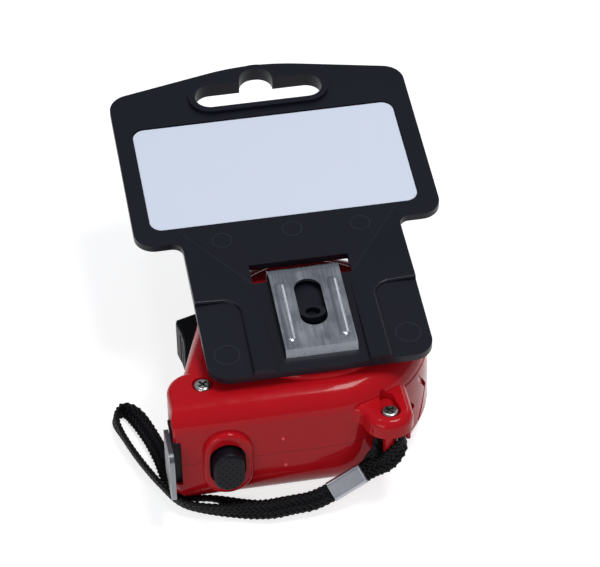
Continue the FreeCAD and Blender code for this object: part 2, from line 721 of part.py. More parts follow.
def hang_card():
    pts, radii = card_outline()
    body = plate(pts, radii, -CARD_T, 0.0)
    body = body.fuse(card_wing(-1)).fuse(card_wing(1))
    corner_l = plate(card_outline()[0], radii, -CARD_T, 3.0)
    body = body.common(corner_l)
    rim = hang_hole(1.6, -CARD_T - 1.0, 1.0)
    body = body.fuse(rim).cut(hang_hole(0.0, -6.0, 6.0))
    body = body.cut(plate(rect(-33.3, 32.9, -18.2, 18.2), 3.2, -0.4, 2.0))
    body = body.cut(box(-11.9, 12.1, -39.5, -33.4, -5.0, 5.0))
    peg = cyl(3.0, 0.3, -52.6, -0.5, 3.4)
    peg = peg.common(along([(-60, -1), (-45, -1), (-45, 0.4), (-49.1, 0.8), (-55.7, 2.9),
                            (-60, 2.9)], V(-9, 0, 0), V(0, 1, 0), V(0, 0, 1), 20.0))
    body = body.fuse(peg).cut(cyl(1.8, 0.3, -52.6, 0.0, 6.0))
    return on_card(body.removeSplitter())


def card_label():
    return on_card(plate(rect(-33.1, 32.7, -17.9, 17.9), 3.0, -0.4, -0.25))


# ------------------------------------------------------------------- wrist strap
def cord(points, name):
    """Tube of straight runs joined by tangent arcs."""
    pts = [V(*p) for p in points]
    runs = [pts[i + 1].sub(pts[i]).Length for i in range(len(pts) - 1)]
    edges = []
    at = pts[0]
    low = 1e9
    for i in range(1, len(pts) - 1):
        back = pts[i - 1].sub(pts[i])
        ahead = pts[i + 1].sub(pts[i])
        back.normalize()
        ahead.normalize()
        half = back.getAngle(ahead) / 2.0
        reach = 0.45 * min(runs[i - 1], runs[i])
        r = reach * math.tan(half)
        low = min(low, r)
        mid = back.add(ahead)
        mid.normalize()
        a = pts[i].add(back * reach)
        m = pts[i].add(mid * (r / math.sin(half) - r))
        b = pts[i].add(ahead * reach)
        edges.append(Part.LineSegment(at, a).toShape())
        edges.append(Part.Arc(a, m, b).toShape())
        at = b
    edges.append(Part.LineSegment(at, pts[-1]).toShape())
    path = Part.Wire(edges)
    ahead = pts[1].sub(pts[0])
    ring = Part.Wire([Part.Circle(pts[0], ahead, CORD_D / 2.0).toShape()])
    solid = path.makePipeShell([ring], True, False)
    want = math.pi * CORD_D * CORD_D / 4.0 * path.Length
    print(name, "length", round(path.Length, 1), "smallest radius", round(low, 2),
          "volume ratio", round(solid.Volume / want, 4))
    return solid


CRIMP_AT = (2.9, -31.3, 6.5)
CRIMP_SIZE = (8.8, 4.9, 3.6)
CRIMP_U = (0.907, 0.18, 0.381)       # along the strap
CRIMP_N = (-0.118, -0.757, 0.643)    # out of its broad face


def crimp_axes():
    u = V(*CRIMP_U)
    u.normalize()
    n = V(*CRIMP_N)
    n = n.sub(u * n.dot(u))
    n.normalize()
    return u, n.cross(u), n


def strap_crimp():
    u, v, n = crimp_axes()
    length, width, thick = CRIMP_SIZE
    wire = rounded_wire(rect(-width / 2, width / 2, -thick / 2, thick / 2), 1.1, 0.0)
    body = Part.Face(wire).extrude(V(0, 0, length))
    body.translate(V(0, 0, -length / 2.0))
    m = FreeCAD.Matrix(v.x, n.x, u.x, CRIMP_AT[0], v.y, n.y, u.y, CRIMP_AT[1],
                       v.z, n.z, u.z, CRIMP_AT[2], 0, 0, 0, 1)
    return place(body, m)


def place(shape, matrix):
    out = shape.copy()
    out.Placement = FreeCAD.Placement(matrix).multiply(out.Placement)
    return out


def crimp_port(end, side):
    """Where a strand leaves the crimp: end -1 or 1 along u, side -1 or 1 across."""
    u, v, n = crimp_axes()
    c = V(*CRIMP_AT)
    p = c.add(u * (end * CRIMP_SIZE[0] / 2.0)).add(v * (side * 1.15))
    return p, u * float(end)


def triple(p):
    return (p.x, p.y, p.z)


def strap_loop():
    """The wrist loop: out past the mouth, up beside the hook, and back."""
    a, d = crimp_port(-1, -1)
    b, e = crimp_port(-1, 1)
    route = [triple(a), triple(a.add(d * 4.6)),
             (-9.8, -33.0, 1.5), (-16.2, -33.9, 1.4), (-23.4, -33.6, 1.4), (-30.6, -31.9, 1.4),
             (-37.3, -28.2, 1.4), (-41.3, -20.8, 1.4), (-44.1, -11.9, 1.4), (-46.4, -2.9, 1.5),
             (-47.6, 3.2, 1.5), (-47.7, 8.3, 1.6), (-44.7, 10.2, 1.6), (-41.7, 8.5, 1.6),
             (-41.2, 4.0, 1.5), (-40.1, -2.4, 1.4), (-39.2, -9.2, 1.4), (-38.6, -15.8, 1.4),
             (-37.5, -21.6, 1.4), (-33.5, -27.1, 1.4), (-26.8, -29.3, 1.4), (-19.8, -30.1, 1.4),
             (-12.8, -30.0, 1.9), triple(b.add(e * 4.8)), triple(b)]
    return cord(route, "strap_loop")


def strap_tether():
    """The short end: round the strap post and back into the crimp."""
    a, d = crimp_port(1, -1)
    b, e = crimp_port(1, 1)
    route = [triple(a), triple(a.add(d * 3.0)),
             (13.9, -33.2, 10.3), (17.0, -30.5, 12.3), (16.4, -26.9, 13.9), (13.0, -25.7, 14.6),
             (10.2, -28.0, 13.2), triple(b.add(e * 3.0)), triple(b)]
    return cord(route, "strap_tether")


# ------------------------------------------------------------------------- build
def main():
    os.makedirs("parts", exist_ok=True)
    low, high = shells()
    save("front_shell", low)
    save("rear_shell", high)
    save("mouth_insert", mouth_insert())
    save("reel_arbor", arbor())
    save("case_screws", case_screws())
    save("tape_blade", tape_blade())
    save("hook_rivets", hook_rivets())
    save("end_hook", end_hook())
    save("tape_coil", tape_coil())
    save("spool", spool())
    save("spool_cover", spool_cover())
    save("power_spring", power_spring())
    save("thumb_lock", thumb_lock())
    save("lock_wedge", lock_wedge())
    save("brake_button", brake_button())
    save("button_spring", button_spring())
    save("belt_clip", belt_clip())
    save("clip_screw", clip_screw())
    save("hang_card", hang_card())
    save("card_label", card_label())
    save("strap_crimp", strap_crimp())
    save("strap_loop", strap_loop())
    save("strap_tether", strap_tether())


main()
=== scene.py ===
import math

import bmesh
import bpy
from mathutils import Matrix, Vector


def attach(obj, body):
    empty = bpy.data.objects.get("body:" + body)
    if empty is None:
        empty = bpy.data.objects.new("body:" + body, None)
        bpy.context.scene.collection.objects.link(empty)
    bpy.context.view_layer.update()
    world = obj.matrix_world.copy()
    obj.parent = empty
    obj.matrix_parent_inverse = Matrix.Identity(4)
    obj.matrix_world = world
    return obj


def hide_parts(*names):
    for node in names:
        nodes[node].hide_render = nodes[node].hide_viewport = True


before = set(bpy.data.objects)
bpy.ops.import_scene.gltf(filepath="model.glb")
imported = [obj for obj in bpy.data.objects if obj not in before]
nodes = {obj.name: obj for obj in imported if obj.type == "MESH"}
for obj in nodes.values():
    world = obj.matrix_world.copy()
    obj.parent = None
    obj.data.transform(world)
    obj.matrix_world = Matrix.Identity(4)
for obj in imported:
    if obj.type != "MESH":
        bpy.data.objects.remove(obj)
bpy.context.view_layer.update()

MM = 0.001  # named sizes and places are in millimetres, and this turns them to metres


# ---------------------------------------------------------------- case shells
# Front and rear halves of the case, injection moulded in glossy red ABS, which meet
# at one parting line. Polished tool steel leaves them smooth, with a faint ripple.

PARTING = 15.2
SEAM_HALF = 0.07


def linear(code):
    """A hex sRGB colour as the linear colour that a shader takes."""
    levels = [int(code[i:i + 2], 16) / 255.0 for i in (1, 3, 5)]
    return [c / 12.92 if c <= 0.04045 else ((c + 0.055) / 1.055) ** 2.4 for c in levels] + [1.0]


def every(size):
    """The scale of a pattern whose grains lie this many millimetres apart."""
    return 1.0 / (size * MM)


def add(material, kind, inputs=None, **settings):
    """One node of a material: settings are its own, inputs are values or links for its sockets."""
    node = material.node_tree.nodes.new(kind)
    for name, value in settings.items():
        setattr(node, name, value)
    for name, value in (inputs or {}).items():
        if isinstance(value, bpy.types.NodeSocket):
            material.node_tree.links.new(value, node.inputs[name])
        else:
            node.inputs[name].default_value = value
    return node


def start(name):
    """A named material with nothing in it."""
    material = bpy.data.materials.new(name)
    material.use_nodes = True
    material.node_tree.nodes.clear()
    return material


def close(material, shader):
    """Links the finished shader to the output."""
    out = material.node_tree.nodes.new("ShaderNodeOutputMaterial")
    material.node_tree.links.new(shader.outputs[0], out.inputs["Surface"])
    return material


def coat(obj, material):
    """Gives the whole object one material."""
    obj.data.materials.clear()
    obj.data.materials.append(material)


def plain_finish(name, code, metallic, rough, grain):
    """One colour, with a gloss that wanders a little from grain to grain."""
    m = start(name)
    place = add(m, "ShaderNodeTexCoord").outputs["Object"]
    noise = add(m, "ShaderNodeTexNoise", {"Vector": place, "Scale": every(grain), "Detail": 3.0})
    gloss = add(m, "ShaderNodeMapRange", {
        0: noise.outputs["Fac"], 3: rough - 0.07, 4: rough + 0.07})
    return close(m, add(m, "ShaderNodeBsdfPrincipled", {
        "Base Color": linear(code), "Metallic": metallic, "Roughness": gloss.outputs[0]}))


def moulded_red_abs():
    """Deep, nearly even red with a clear gloss, duller where handling has rubbed it."""
    m = start("moulded_red_abs")
    place = add(m, "ShaderNodeTexCoord").outputs["Object"]
    cloud = add(m, "ShaderNodeTexNoise", {"Vector": place, "Scale": every(22.2), "Detail": 2.0})
    tone = add(m, "ShaderNodeMix", {
        0: cloud.outputs["Fac"], 6: linear("#b4121c"), 7: linear("#c0161f")}, data_type="RGBA")
    rubs = add(m, "ShaderNodeTexNoise", {"Vector": place, "Scale": every(2.38), "Detail": 4.0})
    rough = add(m, "ShaderNodeMapRange", {
        0: rubs.outputs["Fac"], 1: 0.35, 2: 0.75, 3: 0.12, 4: 0.24})
    ripple = add(m, "ShaderNodeTexNoise", {"Vector": place, "Scale": every(7.69), "Detail": 1.0})
    bump = add(m, "ShaderNodeBump", {"Height": ripple.outputs["Fac"], "Strength": 0.05,
                                     "Distance": 0.1 * MM})
    height = add(m, "ShaderNodeSeparateXYZ", {"Vector": place}).outputs["Z"]
    seam = add(m, "ShaderNodeMath", {0: height, 1: PARTING * MM, 2: SEAM_HALF * MM},
               operation="COMPARE")
    tone = add(m, "ShaderNodeMix", {
        0: seam.outputs[0], 6: tone.outputs[2], 7: linear("#7a0e16")}, data_type="RGBA")
    return close(m, add(m, "ShaderNodeBsdfPrincipled", {
        "Base Color": tone.outputs[2], "Roughness": rough.outputs[0], "IOR": 1.53,
        "Specular IOR Level": 0.08, "Coat Weight": 0.14, "Coat Roughness": 0.04,
        "Normal": bump.outputs[0]}))


red_abs = moulded_red_abs()
for name in ("front_shell", "rear_shell"):
    coat(nodes[name], red_abs)


# ---------------------------------------------------------------- gate marks
# Two paler dots beside the brake button, where the moulding gates were torn off.
# Each is a low bump of roughened ABS, and its paler colour is partly a painted highlight.

GATES = [(-11.3, -27.6, 19.5), (-10.9, -27.6, 11.2)]
GATE_RADIUS = 0.5
GATE_FLATNESS = 0.55


def as_mesh(name, shape):
    """The mesh of a finished bmesh, which is freed."""
    mesh = bpy.data.meshes.new(name)
    shape.to_mesh(mesh)
    shape.free()
    return mesh


def new_piece(name, mesh, material):
    """A smooth piece at the origin, with its place in its mesh and one material."""
    mesh.shade_smooth()
    piece = bpy.data.objects.new(name, mesh)
    bpy.context.scene.collection.objects.link(piece)
    coat(piece, material)
    return piece


def beads(name, spots, radius, flatness, body, material):
    """Small bumps at spots in millimetres, flattened along Y, that ride with a body."""
    shape = bmesh.new()
    for spot in spots:
        bead = bmesh.ops.create_icosphere(shape, subdivisions=2, radius=radius * MM)["verts"]
        bmesh.ops.scale(shape, vec=(1.0, flatness, 1.0), verts=bead)
        bmesh.ops.translate(shape, vec=Vector(spot) * MM, verts=bead)
    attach(new_piece(name, as_mesh(name, shape), material), body)


# paler red: the gate marks' own tone, lightened further as a painted highlight
beads("gate_marks", GATES, GATE_RADIUS, GATE_FLATNESS, "case",
      plain_finish("torn_red_abs_painted_highlight", "#e2434f", 0.0, 0.3, 1.11))


# ---------------------------------------------------------------- reel
# Natural acetal spool and cover on a turned steel arbor, with a blued spiral spring
# inside. The leaf spring behind the brake button is of the same blued steel.

acetal = plain_finish("moulded_acetal", "#d9d8cf", 0.0, 0.42, 3.33)
for name in ("spool", "spool_cover"):
    coat(nodes[name], acetal)

blued_steel = plain_finish("blued_spring_steel", "#5a606c", 1.0, 0.32, 1.43)
for name in ("power_spring", "button_spring"):
    coat(nodes[name], blued_steel)

coat(nodes["reel_arbor"], plain_finish("turned_steel", "#b9b8b4", 1.0, 0.3, 2.0))


# ---------------------------------------------------------------- blade
# Half-inch steel strip lacquered yellow, wound on the spool and led out of the
# mouth. The part that can show has black ticks printed along both edges.

BLADE_WIDTH = 12.7
HOOK_FACE = -37.3   # inner face of the end hook, where the ticks start
TICKS = [  # pitch, half a tick's width and its length
    (2.0, 0.12, 2.2), (10.0, 0.14, 3.6), (20.0, 0.18, 5.2)]


def any_of(m, masks):
    """1 where any one of the masks is 1."""
    joined = masks[0]
    for mask in masks[1:]:
        joined = add(m, "ShaderNodeMath", {0: joined, 1: mask}, operation="MAXIMUM").outputs[0]
    return joined


def printed_ticks(m, place):
    """1 on the ticks, which are counted from the inner face of the hook. They are worked out in
    millimetres, from the distance along the blade and from its middle line."""
    axes = add(m, "ShaderNodeSeparateXYZ", {"Vector": place})
    along = add(m, "ShaderNodeMath", {0: axes.outputs["X"], 1: 1.0 / MM}, operation="MULTIPLY")
    along = add(m, "ShaderNodeMath", {0: along.outputs[0], 1: HOOK_FACE}, operation="SUBTRACT")
    middle = add(m, "ShaderNodeMath", {0: axes.outputs["Z"], 1: 1.0 / MM}, operation="MULTIPLY")
    middle = add(m, "ShaderNodeMath", {0: middle.outputs[0], 1: PARTING}, operation="SUBTRACT")
    middle = add(m, "ShaderNodeMath", {0: middle.outputs[0]}, operation="ABSOLUTE")
    marks = []
    for pitch, half_width, length in TICKS:
        nearest = add(m, "ShaderNodeMath", {0: along.outputs[0], 1: pitch / 2.0},
                      operation="PINGPONG")
        line = add(m, "ShaderNodeMath", {0: nearest.outputs[0], 1: 0.0, 2: half_width},
                   operation="COMPARE")
        inner_end = BLADE_WIDTH / 2.0 - length
        edge = add(m, "ShaderNodeMath", {0: middle.outputs[0], 1: inner_end},
                   operation="GREATER_THAN")
        mark = add(m, "ShaderNodeMath", {0: line.outputs[0], 1: edge.outputs[0]},
                   operation="MULTIPLY")
        marks.append(mark.outputs[0])
    return any_of(m, marks)


def yellow_lacquer(name, printed):
    """Stoved lacquer: an even warm yellow with a satin gloss, under black ink if printed."""
    m = start(name)
    place = add(m, "ShaderNodeTexCoord").outputs["Object"]
    noise = add(m, "ShaderNodeTexNoise", {"Vector": place, "Scale": every(3.85), "Detail": 3.0})
    rough = add(m, "ShaderNodeMapRange", {0: noise.outputs["Fac"], 3: 0.27, 4: 0.41})
    colour = linear("#e9c01f")
    if printed:
        colour = add(m, "ShaderNodeMix", {
            0: printed_ticks(m, place), 6: colour, 7: linear("#14130f")},
            data_type="RGBA").outputs[2]
    return close(m, add(m, "ShaderNodeBsdfPrincipled", {
        "Base Color": colour, "Roughness": rough.outputs[0]}))


coat(nodes["tape_blade"], yellow_lacquer("printed_blade_lacquer", True))
coat(nodes["tape_coil"], yellow_lacquer("plain_blade_lacquer", False))


# ---------------------------------------------------------------- end hook
# Pressed from nickel-plated steel and held by two rivets of the same, in slots that
# let it slide a little on the blade.

def nickel_plated_steel(name, low, high):
    """Bright grey metal. Pressing leaves draw lines along Y, drawn coarser than real ones so
    that they show, and the plating dulls in patches where it rubs."""
    m = start(name)
    place = add(m, "ShaderNodeTexCoord").outputs["Object"]
    lines = add(m, "ShaderNodeMapping", {
        "Vector": place, "Scale": (every(0.3846), every(9.09), every(2.0))})
    drawn = add(m, "ShaderNodeTexNoise", {"Vector": lines.outputs[0], "Scale": 1.0, "Detail": 3.0})
    cloud = add(m, "ShaderNodeTexNoise", {"Vector": place, "Scale": every(6.25), "Detail": 3.0})
    tone = add(m, "ShaderNodeMix", {
        0: cloud.outputs["Fac"], 6: linear(low), 7: linear(high)}, data_type="RGBA")
    both = add(m, "ShaderNodeMath", {0: drawn.outputs["Fac"], 1: cloud.outputs["Fac"]},
               operation="ADD")
    rough = add(m, "ShaderNodeMapRange", {0: both.outputs[0], 1: 0.7, 2: 1.3, 3: 0.22, 4: 0.42})
    bump = add(m, "ShaderNodeBump", {"Height": drawn.outputs["Fac"], "Strength": 0.07,
                                     "Distance": 0.02 * MM})
    return close(m, add(m, "ShaderNodeBsdfPrincipled", {
        "Base Color": tone.outputs[2], "Metallic": 1.0, "Roughness": rough.outputs[0],
        "Normal": bump.outputs[0]}))


nickel = nickel_plated_steel("nickel_plated_steel", "#74777b", "#94979b")
for name in ("end_hook", "hook_rivets"):
    coat(nodes[name], nickel)


# ---------------------------------------------------------------- lock, button and mouth liner
# Three pieces moulded in black nylon. The thumb lock presses a rubber wedge on the
# wound blade, the button brakes it, and the liner guides it out of the case.

def grained_black_nylon():
    """Matt black with a faint blue cast. The spark-eroded grain breaks up the highlights, and is
    drawn coarser than the real one so that it shows."""
    m = start("grained_black_nylon")
    place = add(m, "ShaderNodeTexCoord").outputs["Object"]
    grain = add(m, "ShaderNodeTexNoise", {"Vector": place, "Scale": every(0.4167), "Detail": 2.0})
    rough = add(m, "ShaderNodeMapRange", {0: grain.outputs["Fac"], 3: 0.36, 4: 0.56})
    bump = add(m, "ShaderNodeBump", {"Height": grain.outputs["Fac"], "Strength": 0.22,
                                     "Distance": 0.05 * MM})
    return close(m, add(m, "ShaderNodeBsdfPrincipled", {
        "Base Color": linear("#0a0b13"), "Roughness": rough.outputs[0], "IOR": 1.53,
        "Specular IOR Level": 0.16, "Normal": bump.outputs[0]}))


nylon = grained_black_nylon()
for name in ("mouth_insert", "thumb_lock", "brake_button"):
    coat(nodes[name], nylon)
coat(nodes["lock_wedge"], plain_finish("black_rubber", "#17171a", 0.0, 0.8, 1.11))


# ---------------------------------------------------------------- button grip
# Staggered rows of small nylon dots moulded on the face of the brake button, inside
# an oblong with round ends.

BUTTON_FACE = Vector((-24.65, -32.15, 15.0))
DOT_PITCH = 1.66
ROW_PITCH = 0.92
GRIP_STRAIGHT = 1.9     # half the oblong's straight side
GRIP_END = 3.0          # radius of its round ends
DOT_RADIUS = 0.30
DOT_FLATNESS = 0.8

dots = []
for row in range(-5, 6):
    for step in range(-2, 3):
        across = DOT_PITCH * (step + 0.5 * (row % 2))
        up = ROW_PITCH * row
        if math.hypot(across, max(abs(up) - GRIP_STRAIGHT, 0.0)) < GRIP_END:
            dots.append(BUTTON_FACE + Vector((across, 0.0, up)))
beads("button_grip", dots, DOT_RADIUS, DOT_FLATNESS, "button", nylon)


# ---------------------------------------------------------------- mouth lips
# Two thin black nylon pieces beside the mouth liner that stand just proud of the red
# case, one beside the blade and one in front of it. They cover the blade's yellow face
# where the mouth shows black.

MOUTH_LIPS = {
    "mouth_lip_side": ((-37.2, -25.7, 21.75), (-36.7, -19.4, 22.6)),
    "mouth_lip_front": ((-37.2, -26.9, 8.5), (-36.45, -25.75, 22.6))}
LIP_ROUND = 0.08

for name, (low, high) in MOUTH_LIPS.items():
    low, high = Vector(low) * MM, Vector(high) * MM
    shape = bmesh.new()
    bmesh.ops.create_cube(shape, size=1.0)
    bmesh.ops.scale(shape, vec=high - low, verts=shape.verts)
    bmesh.ops.translate(shape, vec=(high + low) / 2.0, verts=shape.verts)
    bmesh.ops.bevel(shape, geom=shape.edges[:], offset=LIP_ROUND * MM, segments=3, profile=0.5,
                    affect="EDGES", material=-1)
    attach(new_piece(name, as_mesh(name, shape), nylon), "case")


# ---------------------------------------------------------------- screws
# Zinc-plated steel screws with pan heads and a cross recess. Three hold the shells
# together from their sunk bores, and one holds the belt clip.

RECESS_FLOORS = [(-28.3, -17.5, 30.0), (13.6, -29.1, 25.0), (-5.0, 24.9, 27.3)]
RECESS_RADIUS = 1.35
RECESS_DEPTH = 0.5      # above and below its floor


def from_upright(m, place, x, y):
    """The distance from an upright line through x and y in millimetres."""
    level = add(m, "ShaderNodeVectorMath", {0: place, 1: (1.0, 1.0, 0.0)}, operation="MULTIPLY")
    away = add(m, "ShaderNodeVectorMath", {0: level.outputs[0], 1: (x * MM, y * MM, 0.0)},
               operation="DISTANCE")
    return away.outputs["Value"]


def zinc_plated_steel():
    """Bright, slightly cloudy plating, with painted shade darkening the cross recess."""
    m = start("zinc_plated_steel")
    place = add(m, "ShaderNodeTexCoord").outputs["Object"]
    height = add(m, "ShaderNodeSeparateXYZ", {"Vector": place}).outputs["Z"]
    recess_shade_masks = []
    for x, y, z in RECESS_FLOORS:
        near = add(m, "ShaderNodeMath", {0: from_upright(m, place, x, y), 1: RECESS_RADIUS * MM},
                   operation="LESS_THAN")
        deep = add(m, "ShaderNodeMath", {0: height, 1: z * MM, 2: RECESS_DEPTH * MM},
                   operation="COMPARE")
        both = add(m, "ShaderNodeMath", {0: near.outputs[0], 1: deep.outputs[0]},
                   operation="MULTIPLY")
        recess_shade_masks.append(both.outputs[0])
    cloud = add(m, "ShaderNodeTexNoise", {"Vector": place, "Scale": every(1.43), "Detail": 3.0})
    tone = add(m, "ShaderNodeMix", {
        0: cloud.outputs["Fac"], 6: linear("#c4c4c1"), 7: linear("#eeeeea")}, data_type="RGBA")
    # painted shade: the cross recess is darkened in colour to stand in for its shadow
    tone = add(m, "ShaderNodeMix", {
        0: any_of(m, recess_shade_masks), 6: tone.outputs[2], 7: linear("#8f8d84")}, data_type="RGBA")
    rough = add(m, "ShaderNodeMapRange", {0: cloud.outputs["Fac"], 3: 0.16, 4: 0.32})
    return close(m, add(m, "ShaderNodeBsdfPrincipled", {
        "Base Color": tone.outputs[2], "Metallic": 1.0, "Roughness": rough.outputs[0]}))


zinc = zinc_plated_steel()
for name in ("case_screws", "clip_screw"):
    coat(nodes[name], zinc)


# ---------------------------------------------------------------- belt clip
# One strip of bright plated spring steel, bent back on itself and held by its screw,
# with a slot and two pressed ribs.

coat(nodes["belt_clip"], nickel_plated_steel("plated_spring_steel", "#999da4", "#bcc0c7"))


# ---------------------------------------------------------------- hanging card
# Injection-moulded polypropylene, navy black, with two creases, ribs and raised
# corners. The ejector pins of the tool leave faint rings on it. The rings and the
# creases carry a painted highlight, a lighter tone.

CARD_X = -0.4       # middle line of the card
CARD_Y = 47.2       # middle of its label
CARD_TILT = math.radians(6.0)
CREASE_TOP = Vector((26.5, 28.0))       # out from the middle line, and Y
CREASE_FOOT = Vector((12.0, 7.8))
CREASE_HALF = 0.08
EJECTOR_PINS = [  # across and up the card from the middle of its label, and the pin's radius
    (-21.4, -61.2, 2.95), (21.4, -61.2, 2.95), (-16.8, -23.9, 2.35), (0.5, -22.8, 2.35),
    (17.0, -23.6, 2.35)]
RING_HALF = 0.13


def crease_lines(m, place):
    """1 along the two creases that run from the card's neck to the belt clip, mirrored in X."""
    axes = add(m, "ShaderNodeSeparateXYZ", {"Vector": place})
    x = add(m, "ShaderNodeMath", {0: axes.outputs["X"], 1: CARD_X * MM}, operation="SUBTRACT")
    x = add(m, "ShaderNodeMath", {0: x.outputs[0]}, operation="ABSOLUTE")
    run = (CREASE_TOP - CREASE_FOOT).normalized()
    across = add(m, "ShaderNodeMath", {0: x.outputs[0], 1: run.y}, operation="MULTIPLY")
    down = add(m, "ShaderNodeMath", {0: axes.outputs["Y"], 1: run.x}, operation="MULTIPLY")
    off = add(m, "ShaderNodeMath", {0: across.outputs[0], 1: down.outputs[0]}, operation="SUBTRACT")
    level = (CREASE_FOOT.x * run.y - CREASE_FOOT.y * run.x) * MM
    line = add(m, "ShaderNodeMath", {0: off.outputs[0], 1: level, 2: CREASE_HALF * MM},
               operation="COMPARE")
    above = add(m, "ShaderNodeMath", {0: axes.outputs["Y"], 1: CREASE_FOOT.y * MM},
                operation="GREATER_THAN")
    below = add(m, "ShaderNodeMath", {0: axes.outputs["Y"], 1: CREASE_TOP.y * MM},
                operation="LESS_THAN")
    line = add(m, "ShaderNodeMath", {0: line.outputs[0], 1: above.outputs[0]}, operation="MULTIPLY")
    line = add(m, "ShaderNodeMath", {0: line.outputs[0], 1: below.outputs[0]}, operation="MULTIPLY")
    return line.outputs[0]


def ejector_rings(m, place):
    """1 on the edge of each ejector pin, one mask for each pin."""
    rings = []
    for x, y, radius in EJECTOR_PINS:
        away = from_upright(m, place, CARD_X + x, CARD_Y + y * math.cos(CARD_TILT))
        ring = add(m, "ShaderNodeMath", {0: away, 1: radius * MM, 2: RING_HALF * MM},
                   operation="COMPARE")
        rings.append(ring.outputs[0])
    return rings


def satin_polypropylene():
    """Navy black. A lightly blasted tool leaves the flats satin, while the edges catch the light.
    The creases and ejector rings are raised a little and carry a painted highlight, a lighter
    tone. The blasted grain is drawn coarser than the real one so that it shows."""
    m = start("satin_polypropylene")
    place = add(m, "ShaderNodeTexCoord").outputs["Object"]
    grain = add(m, "ShaderNodeTexNoise", {"Vector": place, "Scale": every(0.6667), "Detail": 2.0})
    cloud = add(m, "ShaderNodeTexNoise", {"Vector": place, "Scale": every(28.6), "Detail": 3.0})
    tone = add(m, "ShaderNodeMix", {
        0: cloud.outputs["Fac"], 6: linear("#12141d"), 7: linear("#171923")}, data_type="RGBA")
    rough = add(m, "ShaderNodeMapRange", {0: grain.outputs["Fac"], 3: 0.28, 4: 0.43})
    bump = add(m, "ShaderNodeBump", {"Height": grain.outputs["Fac"], "Strength": 0.10,
                                     "Distance": 0.05 * MM})
    marks = any_of(m, [crease_lines(m, place)] + ejector_rings(m, place))
    bump = add(m, "ShaderNodeBump", {"Height": marks, "Strength": 0.6, "Distance": 0.15 * MM,
                                     "Normal": bump.outputs[0]})
    # painted highlight: the creases and ejector rings are lightened in colour as well as raised
    marks_painted_highlight = add(m, "ShaderNodeMath", {0: marks, 1: 0.32}, operation="MULTIPLY")
    tone = add(m, "ShaderNodeMix", {
        0: marks_painted_highlight.outputs[0], 6: tone.outputs[2], 7: linear("#3a3f50")}, data_type="RGBA")
    return close(m, add(m, "ShaderNodeBsdfPrincipled", {
        "Base Color": tone.outputs[2], "Roughness": rough.outputs[0], "IOR": 1.49,
        "Specular IOR Level": 0.25, "Normal": bump.outputs[0]}))


coat(nodes["hang_card"], satin_polypropylene())


# ---------------------------------------------------------------- card label
# A self-adhesive film stuck in the card's flat field and left bare. It is pale and
# matt, so the card's tilt shows on it as one even tone.

coat(nodes["card_label"], plain_finish("pale_label_film", "#dde5f4", 0.0, 0.45, 5.0))


# ---------------------------------------------------------------- wrist strap
# A flat black polyester braid of sixteen yarns, eight each way, laid as a tube and
# pressed flat. It goes round the post, through the crimp and out into the wrist loop.

BRAID_WIDTH = 4.6
BRAID_THICK = 1.5
YARN_RADIUS = 0.40
WEAVE = 0.17        # how far a yarn goes in and out as it crosses the others
YARNS = 8           # each way
LAY = 11.0          # length of strap in which a yarn winds round it once
BRAID_STEP = 0.36

CRIMP = Vector((2.9, -31.3, 6.5))       # its middle, the way it points and the way it faces
ALONG = Vector((0.907, 0.18, 0.381)).normalized()
FACE = Vector((-0.118, -0.757, 0.643))
FACE = (FACE - ALONG * FACE.dot(ALONG)).normalized()
CRIMP_HALF = 4.4    # half its length
STACK = 0.78        # from its middle to the middle of a strand


def mesh_of(curve):
    """The mesh that a curve makes. The curve itself is removed."""
    holder = bpy.data.objects.new(curve.name, curve)
    bpy.context.scene.collection.objects.link(holder)
    mesh = bpy.data.meshes.new_from_object(holder)
    bpy.data.objects.remove(holder)
    bpy.data.curves.remove(curve)
    return mesh


def spline_line(points):
    """The smooth line that a NURBS spline makes of its points."""
    curve = bpy.data.curves.new("line", "CURVE")
    curve.dimensions = "3D"
    spline = curve.splines.new("NURBS")
    spline.points.add(len(points) - 1)
    for end, p in zip(spline.points, points):
        end.co = (p[0], p[1], p[2], 1.0)
    spline.order_u = 3
    spline.use_endpoint_u = True
    spline.resolution_u = 12
    mesh = mesh_of(curve)
    line = [v.co.copy() for v in mesh.vertices]
    bpy.data.meshes.remove(mesh)
    return line


def stations(line, leans, step):
    """Places an even step apart: length so far, centre, and the across and out-of-face ways."""
    marks = [0.0]
    for a, b in zip(line, line[1:]):
        marks.append(marks[-1] + (b - a).length)
    count = max(2, round(marks[-1] / step))
    out = []
    k = 0
    for i in range(count + 1):
        s = marks[-1] * i / count
        while k < len(marks) - 2 and marks[k + 1] < s:
            k += 1
        t = (s - marks[k]) / max(marks[k + 1] - marks[k], 1e-9)
        ahead = (line[min(k + 2, len(line) - 1)] - line[max(k - 1, 0)]).normalized()
        level = Vector((0, 0, 1)).cross(ahead).normalized()
        lean = leans[k].lerp(leans[k + 1], t).x
        across = level * math.cos(lean) + ahead.cross(level) * math.sin(lean)
        out.append((s, line[k].lerp(line[k + 1], t), across, ahead.cross(across)))
    return out


def flat_oval(turn):
    """A place on the flattened tube, in millimetres across and out of the face, and the way out
    of the tube there."""
    half = BRAID_WIDTH / 2.0 - YARN_RADIUS
    deep = BRAID_THICK / 2.0 - YARN_RADIUS - WEAVE
    straight = 2.0 * (half - deep)
    bend = math.pi * deep
    s = (turn % 1.0) * 2.0 * (straight + bend)
    if s < straight:
        return s - straight / 2.0, deep, 0.0, 1.0
    s -= straight
    if s < bend:
        a = s / deep
        return straight / 2.0 + deep * math.sin(a), deep * math.cos(a), math.sin(a), math.cos(a)
    s -= bend
    if s < straight:
        return straight / 2.0 - s, -deep, 0.0, -1.0
    a = (s - straight) / deep
    return -straight / 2.0 - deep * math.sin(a), -deep * math.cos(a), -math.sin(a), -math.cos(a)


